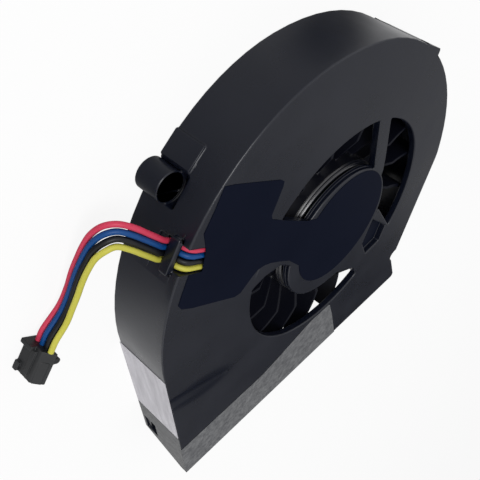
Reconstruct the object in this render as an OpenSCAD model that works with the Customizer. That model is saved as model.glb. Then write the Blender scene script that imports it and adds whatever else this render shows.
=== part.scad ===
// Flat centrifugal blower with a side outlet, of the kind that cools a thin computer.
// The back cover lies on z = 0, the labelled face looks up, and the air leaves towards -Y.

/* [Housing] */
// Reach of the straight wall beside the outlet, from the spin axis
left_reach = 44; // [43:0.5:48]
// Reach of the cut-off side, from the spin axis
right_reach = 34.5; // [34:0.5:38]
// Reach of the crown of the scroll, from the spin axis
top_reach = 42; // [41:0.5:46]
// Reach of the outlet edge, from the spin axis
outlet_reach = 40; // [39:0.5:45]
// Height from the underside of the back cover to the face
body_h = 11.5; // [11.5:0.1:14]
// Thickness of the side wall
wall_t = 1.5; // [1.3:0.1:1.9]
// Thickness of the face plate
face_t = 1.5; // [1.4:0.1:1.9]
// How far the crown of the scroll lies to the left of the spin axis
crown_offset = 8; // [5:0.5:10]
// How far the straight wall leans in towards the outlet
left_taper = 1.7; // [0.5:0.1:3]
// Reach of the outlet's far corner, from the spin axis
outlet_right = 28.8; // [28:0.1:30]
// How far the back cover stops short of the outlet edge
outlet_slant = 5.5; // [3:0.5:7]
// Radius of the tongue's face, which cuts the air off from the impeller
tongue_r = 31.6; // [31:0.1:32]
// Angle of the tongue's nose below the X axis
tongue_angle = 54; // [50:1:58]

/* [Face openings] */
// Radius of the inlet in the face plate
inlet_r = 24; // [22:0.5:26]
// Radius of the disc that carries the motor
base_r = 14; // [13:0.1:15]
// Direction of the channel that the leads run in
lead_angle = 147; // [145:1:149]
// Depth of the lead channel below the face
channel_depth = 1.1; // [1:0.05:1.2]
// Thickness of the strap that holds the leads at the rim
strap_t = 1.1; // [0.8:0.1:1.4]

/* [Back cover] */
// Thickness of the back cover
cover_t = 1; // [0.8:0.1:1.4]
// Radius of the inlet in the back cover
back_inlet_r = 25; // [23:0.5:27]
// Thickness of the lip of the side wall that the cover lies inside
lip_t = 0.8; // [0.6:0.1:1]
// Clearance round the back cover
cover_fit = 0.1; // [0.05:0.05:0.2]

/* [Mounting] */
// Radius of the two locating bores
post_bore_r = 1.6; // [1.3:0.1:1.7]
// Wall round a locating bore
boss_wall = 1; // [0.8:0.05:1.2]
// Height of the open boss at the scroll's outside
boss_h = 4.5; // [3.5:0.5:6]
// Depth of the blind bore in the tongue
tongue_bore_h = 6; // [4:0.5:7]

/* [Impeller] */
// Number of blades
blade_count = 17; // [13:1:21]
// Radius of the blade tips
impeller_r = 30; // [27:0.5:30.5]
// Outer radius of the hub
hub_r = 14.2; // [14:0.1:15]
// Thickness of the hub's closed end
hub_floor_t = 1; // [0.8:0.1:1.2]
// Thickness of a blade
blade_t = 0.75; // [0.5:0.05:1]
// Radius that a blade is curved to
blade_bend_r = 18; // [14:1:30]
// Radius where the blades reach their full height
blade_full_r = 19.5; // [17:0.5:22]
// Clearance of the impeller over the back cover
floor_gap = 0.7; // [0.5:0.1:1]
// Clearance of the blades under the face plate
blade_gap = 0.45; // [0.3:0.05:0.7]

/* [Motor] */
// Radius of the shaft
shaft_r = 1; // [0.8:0.1:1.2]
// Running clearance of the shaft in its bearing
shaft_clearance = 0.03; // [0.02:0.01:0.05]
// Wall of the bearing sleeve
sleeve_wall = 1.27; // [1:0.01:1.4]
// Wall of the bearing holder
holder_wall = 0.7; // [0.5:0.05:0.9]
// Radius of the circuit board
board_r = 12.6; // [12:0.1:12.8]
// Thickness of the circuit board
board_t = 0.8; // [0.6:0.1:1]
// Thickness of the steel rotor ring
yoke_t = 0.6; // [0.4:0.1:0.8]
// Thickness of the magnet ring
magnet_t = 1.3; // [1:0.1:1.6]
// Air gap between the stator and the magnet
air_gap = 0.3; // [0.2:0.05:0.4]
// Number of stator teeth
tooth_count = 6; // [6:3:9]
// Width of a stator tooth
tooth_w = 2.2; // [1.6:0.1:2.4]
// Thickness of the winding on each side of a tooth
coil_t = 0.75; // [0.5:0.05:0.8]

/* [Leads and plug] */
// Radius of a lead
wire_r = 0.45; // [0.35:0.05:0.5]
// Spacing of the leads in the channel
wire_pitch = 1.05; // [1:0.01:1.1]
// Spacing of the plug's contacts
plug_pitch = 1; // [1:0.05:1.1]
// Thickness of the plug
plug_t = 2.05; // [2:0.05:2.4]
// Length of the plug along its contacts
plug_len = 5.4; // [4.8:0.1:6]
// Wall below the lowest contact
plug_end_wall = 1.1; // [1:0.1:1.3]

/* [Label and tapes] */
// Thickness of the label and the tapes
film_t = 0.1; // [0.05:0.01:0.15]
// Radius of the label's round part
label_r = 12.2; // [11:0.1:13]

/* [Hidden] */

$fn = 96;
axis_x = (left_reach - right_reach) / 2;
axis_y = (outlet_reach - top_reach) / 2;
cut = 1;
arc_steps = 20;

// Outline of the scroll
left_rise = 2;
right_drop = 1;
shoulder_r = 10;
flat_angle = 16;
corner_r = 1;
notch_r = 1.5;
notch_in = 2.1;
notch_up = 10.25;
nose_r = 1;
shoulder_c = [right_reach - shoulder_r, -right_drop];
right_c = [-crown_offset, -right_drop];
right_rx = right_reach + crown_offset;
right_ry = top_reach + right_drop;
left_c = [-crown_offset, left_rise];
left_rx = left_reach - crown_offset;
left_ry = top_reach - left_rise;
notch_c = [outlet_right - notch_in, notch_up - outlet_reach];
cover_end = outlet_reach - outlet_slant;
left_lean = atan(left_taper / (left_rise + outlet_reach));
throat = [notch_c[0] - notch_r - wall_t, notch_c[1] - notch_r * 0.9];
nose_c = polar(tongue_r + nose_r, -tongue_angle);
flat_reach = shoulder_c * polar(1, -flat_angle) + shoulder_r;

// Levels
face_in = body_h - face_t;
blade_z0 = cover_t + floor_gap;
blade_z1 = face_in - blade_gap;
blade_drop = 3;
hub_z0 = blade_z0 - 0.1;
hub_in = hub_z0 + hub_floor_t;
hub_rim_gap = 0.7;
hub_z1 = face_in - hub_rim_gap;
board_z0 = face_in - board_t;
core_drop = 2.2;
foot_h = 0.3;
bobbin_low_h = 1;
foot_gap = 0.7;
core_z1 = board_z0 - core_drop;
core_z0 = hub_in + foot_gap + foot_h + bobbin_low_h;
core_h = core_z1 - core_z0;
holder_seat = 0.6;
holder_z1 = face_in + holder_seat;
channel_z = body_h - channel_depth;
lead_z = channel_z + wire_r + 0.05;

// Motor radii, worked inwards from the hub
bond_gap = 0.02;
hub_wall = 0.88;
yoke_r = hub_r - hub_wall - bond_gap;
magnet_r = yoke_r - yoke_t - bond_gap;
stator_r = magnet_r - magnet_t - air_gap;
sleeve_in = shaft_r + shaft_clearance;
sleeve_r = sleeve_in + sleeve_wall;
holder_in = sleeve_r + bond_gap;
holder_r = holder_in + holder_wall;
core_in = holder_r + 0.05;
shoulder_w = 0.6;
shoulder_h = 0.9;
shoe_t = 1.3;
ring_t = 1.9;
insulator_t = 0.3;
insulator_side = 0.2;
shoe_gap = 0.2;

// Locating bores
boss_angle = 136.7;
boss_out = 0.5;
boss_r = post_bore_r + boss_wall;
tongue_boss_r = post_bore_r + 0.75;
bulge_wall = 1.1;
bulge_r = boss_r + bulge_wall;
pocket_r = boss_r + 0.1;
pocket_h = 1.6;
bulge_top = 1;
head_r = boss_r - 0.4;
head_h = 1.5;
boss_c = polar(wall_r(boss_angle) + boss_out, boss_angle);
tongue_bore_c = polar(tongue_r + 2.8, -46);

// Lead channel
channel_w = 3 * wire_pitch + 2 * wire_r + 0.3;
slot_r0 = 7.9;
slot_r1 = board_r - 0.2;
rim_r = wall_r(lead_angle);
guide_wall = 0.8;
exit_r = rim_r + 0.2;
strap_z0 = body_h - 3.1;
strap_out = 0.8;
exit_z = strap_z0 - wire_r - 0.15;

// Routes of the four free wires, in millimetres from the spin axis, on from where they leave
// the rim to the plug
wire_red_route = [[-37.85, 26.75, 7.85], [-38.69, 27.95, 8], [-40.28, 30.21, 8.05],
    [-42.1, 32.6, 7.7], [-43.75, 33.85, 6.7], [-45.3, 33.75, 5.5], [-46.5, 32.15, 4.2],
    [-47.5, 30.1, 3.35], [-48.4, 27.9, 2.7], [-49.5, 25.3, 2.1], [-50.7, 22.4, 1.7],
    [-52.5, 19.6, 1.4], [-55.65, 17.25, 1.3], [-56.9, 15.7, 1.3]];
wire_blue_route = [[-38.42, 25.87, 7.85], [-39.2, 27.04, 8], [-40.78, 29.3, 8.05],
    [-42.65, 31.75, 7.8], [-44.2, 33, 6.95], [-45.75, 32.9, 6], [-46.95, 31.5, 4.95],
    [-48, 29.4, 4.1], [-48.9, 27.3, 3.5], [-50, 24.8, 3], [-51.2, 22, 2.6], [-52.9, 19.5, 2.4],
    [-55.65, 17.25, 2.3], [-56.9, 15.7, 2.3]];
wire_black_route = [[-38.98, 24.98, 7.85], [-39.75, 26.18, 7.95], [-41.33, 28.4, 8],
    [-43.15, 30.9, 7.9], [-44.65, 32.2, 7.25], [-46.15, 32.1, 6.55], [-47.5, 30.75, 5.6],
    [-48.4, 28.8, 4.9], [-49.4, 26.7, 4.3], [-50.5, 24.2, 3.9], [-51.6, 21.7, 3.6],
    [-53.2, 19.4, 3.4], [-55.65, 17.25, 3.3], [-56.9, 15.7, 3.3]];
wire_yellow_route = [[-39.55, 24.1, 7.9], [-40.31, 25.27, 8.1], [-41.79, 27.44, 8.3],
    [-43.55, 29.85, 8.15], [-45.15, 31.35, 7.6], [-46.7, 31.4, 7.2], [-47.9, 30.25, 6.4],
    [-48.95, 28.1, 5.65], [-49.9, 26, 5.15], [-50.9, 23.7, 4.8], [-52.1, 21.4, 4.5],
    [-53.5, 19.3, 4.4], [-55.65, 17.25, 4.3], [-56.9, 15.7, 4.3]];
plug_run = wire_red_route[13] - wire_red_route[12];
plug_angle = atan2(plug_run[1], plug_run[0]);
plug_z0 = wire_red_route[13][2] - plug_end_wall;
plug_h = 3 * plug_pitch + plug_end_wall + 0.65;
plug_side = 0.85;
plug_slant = 0.95;
pocket_side = 0.6;
pocket_len = 3.2;
plug_lip = 0.9;
plug_lip_len = 0.7;
plug_toe = 0.4;
plug_toe_len = 1.5;
ridge_h = 0.3;
ear_r = 0.5;

function polar(r, a) = [r * cos(a), r * sin(a)];
function unit(v) = v / norm(v);

// Points of an elliptical arc, set in from the ellipse by d along its normal
function arc(c, rx, ry, a0, a1, n, d = 0, first = 0) =
    [for (i = [first:n])
        let (a = a0 + (a1 - a0) * i / n, m = unit([cos(a) / rx, sin(a) / ry]))
        c + [rx * cos(a), ry * sin(a)] - d * m];

// Distance from the spin axis to the scroll's outer wall over its upper left quarter
function wall_r(a) = ray_to_ellipse(polar(1, a), left_c, left_rx, left_ry);
function ray_to_ellipse(dir, c, rx, ry) =
    let (k = [1 / (rx * rx), 1 / (ry * ry)],
        p = dir[0] * dir[0] * k[0] + dir[1] * dir[1] * k[1],
        q = dir[0] * c[0] * k[0] + dir[1] * c[1] * k[1],
        s = c[0] * c[0] * k[0] + c[1] * c[1] * k[1] - 1)
    (q + sqrt(q * q - p * s)) / p;

// Points on the two straight walls at height y, set in by d
function left_wall(d, y) =
    [-left_reach + (left_rise - y) * tan(left_lean) + d / cos(left_lean), y];
function flat_wall(d, y) =
    let (p = shoulder_c + polar(shoulder_r - d, -flat_angle))
    [p[0] - (p[1] - y) * tan(flat_angle), y];
function duct_wall(d, y) =
    let (low = [outlet_right, corner_r - outlet_reach], high = notch_c + polar(notch_r, 235))
    [low[0] + (high[0] - low[0]) * (y - low[1]) / (high[1] - low[1]) - d, y];

// Scroll from the end of the flat wall round the crown to the top of the straight wall
function scroll(d) = concat(
    arc(shoulder_c, shoulder_r, shoulder_r, -flat_angle, 0, 3, d),
    arc(right_c, right_rx, right_ry, 0, 90, arc_steps, d, 1),
    arc(left_c, left_rx, left_ry, 90, 180, arc_steps, d, 1));

function outer_outline() = concat(
    [left_wall(0, -outlet_reach)],
    arc([outlet_right - corner_r, corner_r - outlet_reach], corner_r, corner_r, -90, 0, 4),
    arc(notch_c, notch_r, notch_r, 235, 105, 6),
    [flat_wall(0, notch_c[1] + notch_r)],
    scroll(0));

// The nose starts where the duct's wall from the throat touches it
function nose_start() =
    let (v = nose_c - throat) atan2(v[1], v[0]) + 180 - acos(nose_r / norm(v));

function cavity_outline() = concat(
    [left_wall(wall_t, -outlet_reach - cut)],
    [[outlet_right - wall_t, -outlet_reach - cut], [outlet_right - wall_t, corner_r - outlet_reach]],
    [throat],
    arc(nose_c, nose_r, nose_r, nose_start(), 180 - tongue_angle, 6),
    [for (i = [1:8])
        polar(tongue_r + (flat_reach - wall_t - tongue_r) * i / 8,
            -tongue_angle + (tongue_angle - flat_angle) * i / 8)],
    scroll(wall_t));

function cover_outline(d) =
    let (notch_x = notch_c[0] - notch_r - d)
    concat(
        [left_wall(d, -cover_end), duct_wall(d, -cover_end)],
        [[notch_x, notch_c[1] - cut], [notch_x, notch_c[1] + cut]],
        [flat_wall(d, notch_c[1] + notch_r + d)],
        scroll(d));

module at_axis() {
    translate([axis_x, axis_y, 0]) children();
}

// Solid between two heights
module slab(points, z0, z1) {
    translate([0, 0, z0]) linear_extrude(z1 - z0) polygon(points);
}

module disc(r, z0, z1, c = [0, 0]) {
    translate([c[0], c[1], z0]) cylinder(h = z1 - z0, r = r);
}

module ring(r_out, r_in, z0, z1) {
    difference() {
        disc(r_out, z0, z1);
        disc(r_in, z0 - cut, z1 + cut);
    }
}

// Prism along a direction: the profile is in distance from the axis and height
module radial_prism(angle, profile, w) {
    rotate([0, 0, angle]) translate([0, w / 2, 0]) rotate([90, 0, 0])
        linear_extrude(w) polygon(profile);
}

// Everything beyond the slanted ends of the side walls, below the face plate
module outlet_slant_cut() {
    far = left_reach + right_reach;
    translate([-far, 0, 0]) rotate([90, 0, 90]) linear_extrude(2 * far)
        polygon([[-outlet_reach - cut, -cut], [-cover_end, -cut], [-cover_end, 0],
            [-outlet_reach, face_in], [-outlet_reach - cut, face_in]]);
}

// The three arms that carry the motor's base disc across the inlet
module arms(z0, z1) {
    out = inlet_r + cut;
    root = base_r - cut;
    slab([polar(out, 134.8), polar(root, 131.4), polar(root, 170), polar(base_r + 0.2, 169.9),
        polar(base_r + 3.2, 163.1), polar(base_r + 7.2, 165), polar(out, 169.8)], z0, z1);
    slab([polar(out, 63.3), polar(out, 72.5), polar(base_r + 1.6, 56.5), polar(root, 45),
        polar(root, 25), polar(base_r + 0.8, 32.6), polar(base_r + 3.2, 44.3)], z0, z1);
    slab([polar(out, -65.7), polar(out, -35.4), polar(base_r + 0.56, -15.9), polar(root, -20),
        polar(root, -80), polar(base_r + 0.1, -83.9), polar(base_r + 6.4, -65.3)], z0, z1);
}

// Dished triangle in the lower right arm
module arm_pocket() {
    slab([polar(base_r - 0.1, -25.6), polar(base_r + 1.8, -49.4), polar(base_r + 7.1, -53.7),
        polar(base_r + 9.7, -44.1), polar(base_r + 8.3, -34)], body_h - 0.7, body_h + cut);
}

// Shallow scoop in the face plate that runs out of the straight wall's edge
scoop_r = 4;
scoop_depth = 0.45;
scoop_len = 16;
scoop_from = [-44.5, -8.6];
scoop_turn = -21;
scoop_rise = 1.2;
module face_scoop() {
    translate([scoop_from[0], scoop_from[1], body_h - scoop_depth + scoop_r])
        rotate([0, 90 - scoop_rise, scoop_turn]) cylinder(h = scoop_len, r = scoop_r);
}

// Channel for the leads: through the base disc to the board, along the wide arm, down behind
// the strap and out of the side wall below it
module lead_channel_cut() {
    strap_in = rim_r + strap_out - strap_t;
    low = exit_z - wire_r - 0.1;
    radial_prism(lead_angle, [[slot_r0, face_in - cut], [slot_r1, face_in - cut],
        [slot_r1, channel_z], [rim_r - 4, channel_z], [strap_in - 1.3, low], [rim_r + 2 * cut, low],
        [rim_r + 2 * cut, strap_z0], [strap_in, strap_z0], [strap_in, face_in],
        [rim_r + 2 * cut, face_in], [rim_r + 2 * cut, body_h + cut], [slot_r0, body_h + cut]],
        channel_w);
}

// Walls round the leads' way down, inside the side wall
module lead_guide() {
    low = exit_z - wire_r - 0.1 - guide_wall;
    radial_prism(lead_angle, [[rim_r - 5.6, face_in], [rim_r - 3.2, low + 0.3], [rim_r - 2.6, low],
        [rim_r - wall_t / 2, low], [rim_r - wall_t / 2, face_in]],
        channel_w + 2 * guide_wall);
}

// Strap over the leads at the outside of the side wall
module lead_strap() {
    radial_prism(lead_angle, [[rim_r - wall_t / 2, strap_z0], [rim_r + strap_out, strap_z0],
        [rim_r + strap_out, face_in], [rim_r - wall_t / 2, face_in]],
        channel_w + 2 * guide_wall);
}

// Shallow recess below the strap, longer than the strap towards the straight wall
recess_w = 8;
recess_shift = 1.9;
recess_depth = 0.4;
module strap_recess() {
    rotate([0, 0, lead_angle]) translate([rim_r - recess_depth, recess_shift - recess_w / 2,
        strap_z0 - 2.6]) cube([recess_depth + cut, recess_w, 2.6]);
}

// Window beside the outlet that the cover's tab snaps into
window_w = 5.3;
window_z0 = 0.6;
window_z1 = 3.8;
window_low = 0.2;
tab_h = 1;
module left_window(grow, z0, z1) {
    p = left_wall(0, -cover_end + window_low + window_w / 2);
    translate([p[0], p[1], 0]) rotate([0, 0, left_lean])
        translate([-2 * wall_t, -window_w / 2 - grow, z0])
        cube([4 * wall_t, window_w + 2 * grow, z1 - z0]);
}

// Side wall with the tongue, the guide under the lead channel and the seats of both bosses
module housing_shell() {
    color("#34363d") at_axis() difference() {
        union() {
            difference() {
                slab(outer_outline(), 0, face_in);
                slab(cavity_outline(), -cut, face_in + cut);
            }
            lead_guide();
            intersection() {
                disc(bulge_r, 0, boss_h + pocket_h + bulge_top, boss_c);
                slab(outer_outline(), 0, face_in);
            }
            locating_pad(0, face_in);
            lead_strap();
            boss_pad();
        }
        difference() {
            slab(cover_outline(lip_t), -cut, cover_t);
            disc(bulge_r, -2 * cut, body_h, boss_c);
        }
        outlet_slant_cut();
        disc(boss_r, -cut, boss_h + cut, boss_c);
        disc(pocket_r, boss_h, boss_h + pocket_h, boss_c);
        disc(tongue_boss_r, -cut, tongue_bore_h, tongue_bore_c);
        lead_channel_cut();
        strap_recess();
        left_window(0, window_z0, window_z1);
    }
}

// Face with its inlet, the three arms and the motor's base disc
module face_plate() {
    color("#383a41") at_axis() difference() {
        union() {
            slab(outer_outline(), face_in, body_h);
            locating_pad(face_in, body_h);
        }
        difference() {
            disc(inlet_r, face_in - cut, body_h + cut);
            disc(base_r, face_in - 2 * cut, body_h + 2 * cut);
            arms(face_in - 2 * cut, body_h + 2 * cut);
        }
        disc(holder_r + 0.05, face_in - cut, holder_z1);
        lead_channel_cut();
        arm_pocket();
        face_scoop();
    }
}

// Tubes round the two locating bores; the post's bore widens at the top for a screw's head
module boss_tube(c, r, h) {
    difference() {
        disc(r, 0, h, c);
        disc(post_bore_r, -cut, h + cut, c);
    }
}
module post_boss() {
    color("#34363d") at_axis() difference() {
        boss_tube(boss_c, boss_r, boss_h);
        disc(head_r, boss_h - head_h, boss_h + cut, boss_c);
    }
}
module tongue_boss() {
    color("#34363d") at_axis() boss_tube(tongue_bore_c, tongue_boss_r, tongue_bore_h);
}

// Low pad on the scroll's wall beside the post boss
boss_pad_from = 127.3;
boss_pad_to = 132.9;
boss_pad_z1 = 5.8;
module boss_pad() {
    mid = (boss_pad_from + boss_pad_to) / 2;
    span = polar(wall_r(boss_pad_from), boss_pad_from) - polar(wall_r(boss_pad_to), boss_pad_to);
    c = polar(wall_r(mid), mid);
    translate([c[0], c[1], 0]) rotate([0, 0, atan2(span[1], span[0])])
        translate([-norm(span) / 2, -wall_t / 2, 0]) cube([norm(span), wall_t / 2 + 0.35, boss_pad_z1]);
}

// Raised pad down the outside of the scroll at the upper right
pad_angle = 56;
pad_w = 5.5;
pad_proud = 0.5;
module locating_pad(z0, z1) {
    r = ray_to_ellipse(polar(1, pad_angle), right_c, right_rx, right_ry);
    rotate([0, 0, pad_angle]) translate([r - wall_t / 2, -pad_w / 2, z0])
        cube([wall_t / 2 + pad_proud, pad_w, z1 - z0]);
}

module back_cover() {
    color("#2b2c30") at_axis() {
        difference() {
            slab(cover_outline(lip_t + cover_fit), 0, cover_t);
            disc(back_inlet_r, -cut, cover_t + cut);
            disc(tongue_boss_r + cover_fit, -cut, cover_t + cut, tongue_bore_c);
            disc(bulge_r + cover_fit, -cut, cover_t + cut, boss_c);
        }
        cover_tab();
    }
}

// Tab at the cover's edge that stands in the window of the side wall
module cover_tab() {
    intersection() {
        left_window(-0.2, cover_t - 0.3, window_z0 + tab_h);
        slab([left_wall(0.3, 0), left_wall(lip_t + wall_t, 0),
            left_wall(lip_t + wall_t, -outlet_reach), left_wall(0.3, -outlet_reach)],
            0, body_h);
    }
}

// Hollow stem that carries the bearing inside and the stator outside
module bearing_holder() {
    foot_z0 = core_z0 - bobbin_low_h - foot_h;
    shoulder_z0 = board_z0 - shoulder_h;
    color("#c9a64a") at_axis() rotate_extrude() polygon([
        [holder_in, foot_z0], [holder_r + 0.4, foot_z0], [holder_r + 0.4, foot_z0 + foot_h],
        [holder_r, foot_z0 + foot_h], [holder_r, shoulder_z0],
        [holder_r + shoulder_w, shoulder_z0], [holder_r + shoulder_w, board_z0],
        [holder_r, board_z0], [holder_r, holder_z1], [holder_in, holder_z1]]);
}

sleeve_z0 = core_z0 - 0.4;
sleeve_z1 = holder_z1 - 1.2;
washer_t = 0.25;
pad_t = 0.7;
pad_gap = 0.05;

module bearing_sleeve() {
    color("#a9793f") at_axis() ring(sleeve_r, sleeve_in, sleeve_z0, sleeve_z1);
}

module thrust_pad() {
    color("#e8e4da") at_axis() disc(sleeve_r, holder_z1 - pad_t, holder_z1);
}

module retaining_washer() {
    color("#e8e4da") at_axis() ring(sleeve_r, groove_r + 0.1, sleeve_z1, sleeve_z1 + washer_t);
}

groove_r = shaft_r - 0.3;
groove_side = 0.1;

module shaft() {
    top = holder_z1 - pad_t - pad_gap;
    bottom = hub_z0 + 0.4;
    groove_z0 = sleeve_z1 - groove_side;
    groove_z1 = sleeve_z1 + washer_t + groove_side;
    color("#c8ccd2") at_axis() rotate_extrude() polygon([
        [0, bottom], [shaft_r, bottom], [shaft_r, groove_z0], [groove_r, groove_z0],
        [groove_r, groove_z1], [shaft_r, groove_z1], [shaft_r, top], [0, top]]);
}

// Star-shaped plate of the stator: a ring at the stem with one bar to each tooth
module star(r_in, r_ring, bar_w, bar_r, z0, z1) {
    difference() {
        union() {
            disc(r_ring, z0, z1);
            for (i = [0:tooth_count - 1]) rotate([0, 0, i * 360 / tooth_count])
                translate([r_in, -bar_w / 2, z0]) cube([bar_r - r_in, bar_w, z1 - z0]);
        }
        disc(r_in, z0 - cut, z1 + cut);
    }
}

shoe_slot = 1.6;
module stator_core() {
    shoe_in = stator_r - shoe_t;
    color("#8b8f96") at_axis() {
        star(core_in, core_in + ring_t, tooth_w, shoe_in + 0.2, core_z0, core_z1);
        difference() {
            ring(stator_r, shoe_in, core_z0, core_z1);
            for (i = [0:tooth_count - 1]) rotate([0, 0, (i + 0.5) * 360 / tooth_count])
                translate([0, -shoe_slot / 2, core_z0 - cut])
                cube([stator_r + cut, shoe_slot, core_h + 2 * cut]);
        }
    }
}

// Upright at the outer end of each bobbin arm, which keeps the winding off the pole shoe
module bobbin_uprights(z0, z1) {
    r = stator_r - shoe_t - shoe_gap;
    for (i = [0:tooth_count - 1]) rotate([0, 0, i * 360 / tooth_count])
        translate([r - insulator_t, -tooth_w / 2 - coil_t, z0])
        cube([insulator_t, tooth_w + 2 * coil_t, z1 - z0]);
}

bobbin_w = tooth_w + 2 * insulator_side;
coil_r0 = core_in + ring_t + 0.3;
coil_r1 = stator_r - shoe_t - shoe_gap - insulator_t;
bobbin_r = core_in + ring_t;

module bobbin_upper() {
    color("#d9d5c8") at_axis() {
        star(core_in, bobbin_r, bobbin_w, coil_r1 + 0.1, core_z1, core_z1 + insulator_t);
        ring(bobbin_r, core_in, core_z1, board_z0 - shoulder_h);
        bobbin_uprights(core_z1, core_z1 + coil_t);
    }
}

module bobbin_lower() {
    color("#d9d5c8") at_axis() {
        star(core_in, bobbin_r, bobbin_w, coil_r1 + 0.1, core_z0 - insulator_t, core_z0);
        ring(bobbin_r, core_in, core_z0 - bobbin_low_h, core_z0);
        bobbin_uprights(core_z0 - coil_t, core_z0);
    }
}

module coil_windings() {
    z0 = core_z0 - insulator_t;
    z1 = core_z1 + insulator_t;
    color("#b0622c") at_axis()
        for (i = [0:tooth_count - 1]) rotate([0, 0, i * 360 / tooth_count])
            difference() {
                translate([coil_r0, -bobbin_w / 2 - coil_t, z0 - coil_t])
                    cube([coil_r1 - coil_r0, bobbin_w + 2 * coil_t, z1 - z0 + 2 * coil_t]);
                translate([coil_r0 - cut, -bobbin_w / 2, z0])
                    cube([coil_r1 - coil_r0 + 2 * cut, bobbin_w, z1 - z0]);
            }
}

module circuit_board() {
    color("#2f6b3c") at_axis() ring(board_r, core_in, board_z0, face_in);
}

// Parts that hang from the underside of the board, inside the magnet ring
chip_size = 3;
chip_h = 0.9;
chip_place = polar(8.2, -30);
module driver_chip() {
    color("#1b1c1f") at_axis() translate([chip_place[0], chip_place[1], board_z0 - chip_h])
        rotate([0, 0, -30]) translate([-chip_size / 2, -chip_size / 2, 0])
        cube([chip_size, chip_size, chip_h]);
}

passive_len = 1.6;
passive_w = 0.8;
passive_h = 0.6;
passive_r = 7.5;
module board_parts() {
    color("#b79c7a") at_axis() for (a = [60, 85, 200, 225])
        rotate([0, 0, a]) translate([passive_r, -passive_len / 2, board_z0 - passive_h])
        cube([passive_w, passive_len, passive_h]);
}

lead_start = 9;
joint_r = 0.45;
module solder_joints() {
    color("#c7c9cc") at_axis() rotate([0, 0, lead_angle]) for (i = [0:3])
        disc(joint_r, face_in, face_in + 2 * joint_r, [lead_start - joint_r, (i - 1.5) * wire_pitch]);
}

// One blade: an arc that starts nearly radially at the hub and leans back from the turning
// direction
blade_heading = 4.5;
blade_sweep = 80;
blade_root = 3;
rotor_turn = 13.4;
module blade() {
    translate([hub_r, 0, blade_z0]) rotate([0, 0, blade_heading])
        translate([0, -blade_bend_r, 0]) rotate([0, 0, 90 + blade_root - blade_sweep])
        rotate_extrude(angle = blade_sweep)
        translate([blade_bend_r - blade_t / 2, 0]) square([blade_t, blade_z1 - blade_z0]);
}

module impeller() {
    inner_r = yoke_r + bond_gap;
    edge = 0.6;
    seat_r = shaft_r + 1;
    seat_h = 0.8;
    color("#26282d") at_axis() difference() {
        union() {
            rotate_extrude() polygon([[0, hub_z0], [hub_r - edge, hub_z0],
                [hub_r - edge * 0.3, hub_z0 + edge * 0.3], [hub_r, hub_z0 + edge],
                [hub_r, hub_z1], [inner_r, hub_z1], [inner_r, hub_in], [seat_r, hub_in],
                [seat_r, hub_in + seat_h], [0, hub_in + seat_h]]);
            intersection() {
                for (i = [0:blade_count - 1])
                    rotate([0, 0, i * 360 / blade_count + rotor_turn]) blade();
                rotate_extrude() polygon([[hub_r - 0.4, blade_z0], [impeller_r, blade_z0],
                    [impeller_r, blade_z1], [blade_full_r, blade_z1],
                    [hub_r - 0.4, blade_z1 - blade_drop]]);
            }
        }
        disc(shaft_r, hub_z0 + 0.4, body_h);
    }
}

module rotor_yoke() {
    flange_h = 0.6;
    color("#9a9ea5") at_axis() rotate_extrude() polygon([
        [magnet_r - magnet_t, hub_in], [yoke_r, hub_in], [yoke_r, hub_z1 - 0.4],
        [yoke_r - yoke_t, hub_z1 - 0.4], [yoke_r - yoke_t, hub_in + flange_h],
        [magnet_r - magnet_t, hub_in + flange_h]]);
}

module rotor_magnet() {
    color("#4a4640") at_axis() ring(magnet_r, magnet_r - magnet_t, hub_in + 0.6, hub_z1 - 0.7);
}

// Black film over the motor and the lead channel
label_c = [1, 1];
label_outline = [[-29.5, 33.7], [-27.5, 32.7], [-18, 26.9], [-17.1, 26], [-17.3, 25],
    [-19.6, 20.4], [-19.4, 19.3], [-16.8, 17], [-10, 11.5], [-4, 8], [-4, -2], [-11, 0],
    [-14.3, 4.5], [-16.8, 6.5], [-19.3, 8.3], [-21, 9.1], [-22.5, 9.3], [-24, 8.6],
    [-25.5, 7.6], [-26.6, 6.9], [-28, 7.2], [-37, 13.3], [-39, 15], [-39.5, 16.3],
    [-38.6, 18.3], [-37, 21.4], [-34.5, 20], [-33.5, 24], [-33.7, 27.5], [-31.5, 30.5]];
module face_label() {
    color("#15161f") at_axis() {
        disc(label_r, body_h, body_h + film_t, label_c);
        slab(label_outline, body_h, body_h + film_t);
    }
}

// Foil over the outlet's edge, turned down over the straight wall
tape_y0 = -28.5;
wrap_y0 = -23.2;
module outlet_tape() {
    color("#8a8b8a") at_axis() difference() {
        union() {
            slab([left_wall(-film_t, tape_y0), left_wall(-film_t, -outlet_reach),
                [5.5, -outlet_reach], [3, -outlet_reach + 10], [1.5, -inlet_r - 1], [1, -inlet_r - 0.6],
                [-5, -inlet_r - 0.6], [-10, -inlet_r - 2], [-15, tape_y0 + 1.1], [-20, tape_y0]],
                body_h, body_h + film_t);
            slab([left_wall(-film_t, wrap_y0), left_wall(-film_t, -outlet_reach),
                left_wall(0, -outlet_reach), left_wall(0, wrap_y0)], 0, body_h + film_t);
        }
        outlet_slant_cut();
        left_window(0, window_z0, window_z1);
    }
}

side_tape_y0 = -1;
module side_tape() {
    color("#b5b3b8") at_axis() slab([left_wall(-film_t, side_tape_y0),
        left_wall(-film_t, wrap_y0 + 0.2), left_wall(0, wrap_y0 + 0.2), left_wall(0, side_tape_y0)],
        0, body_h);
}

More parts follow.
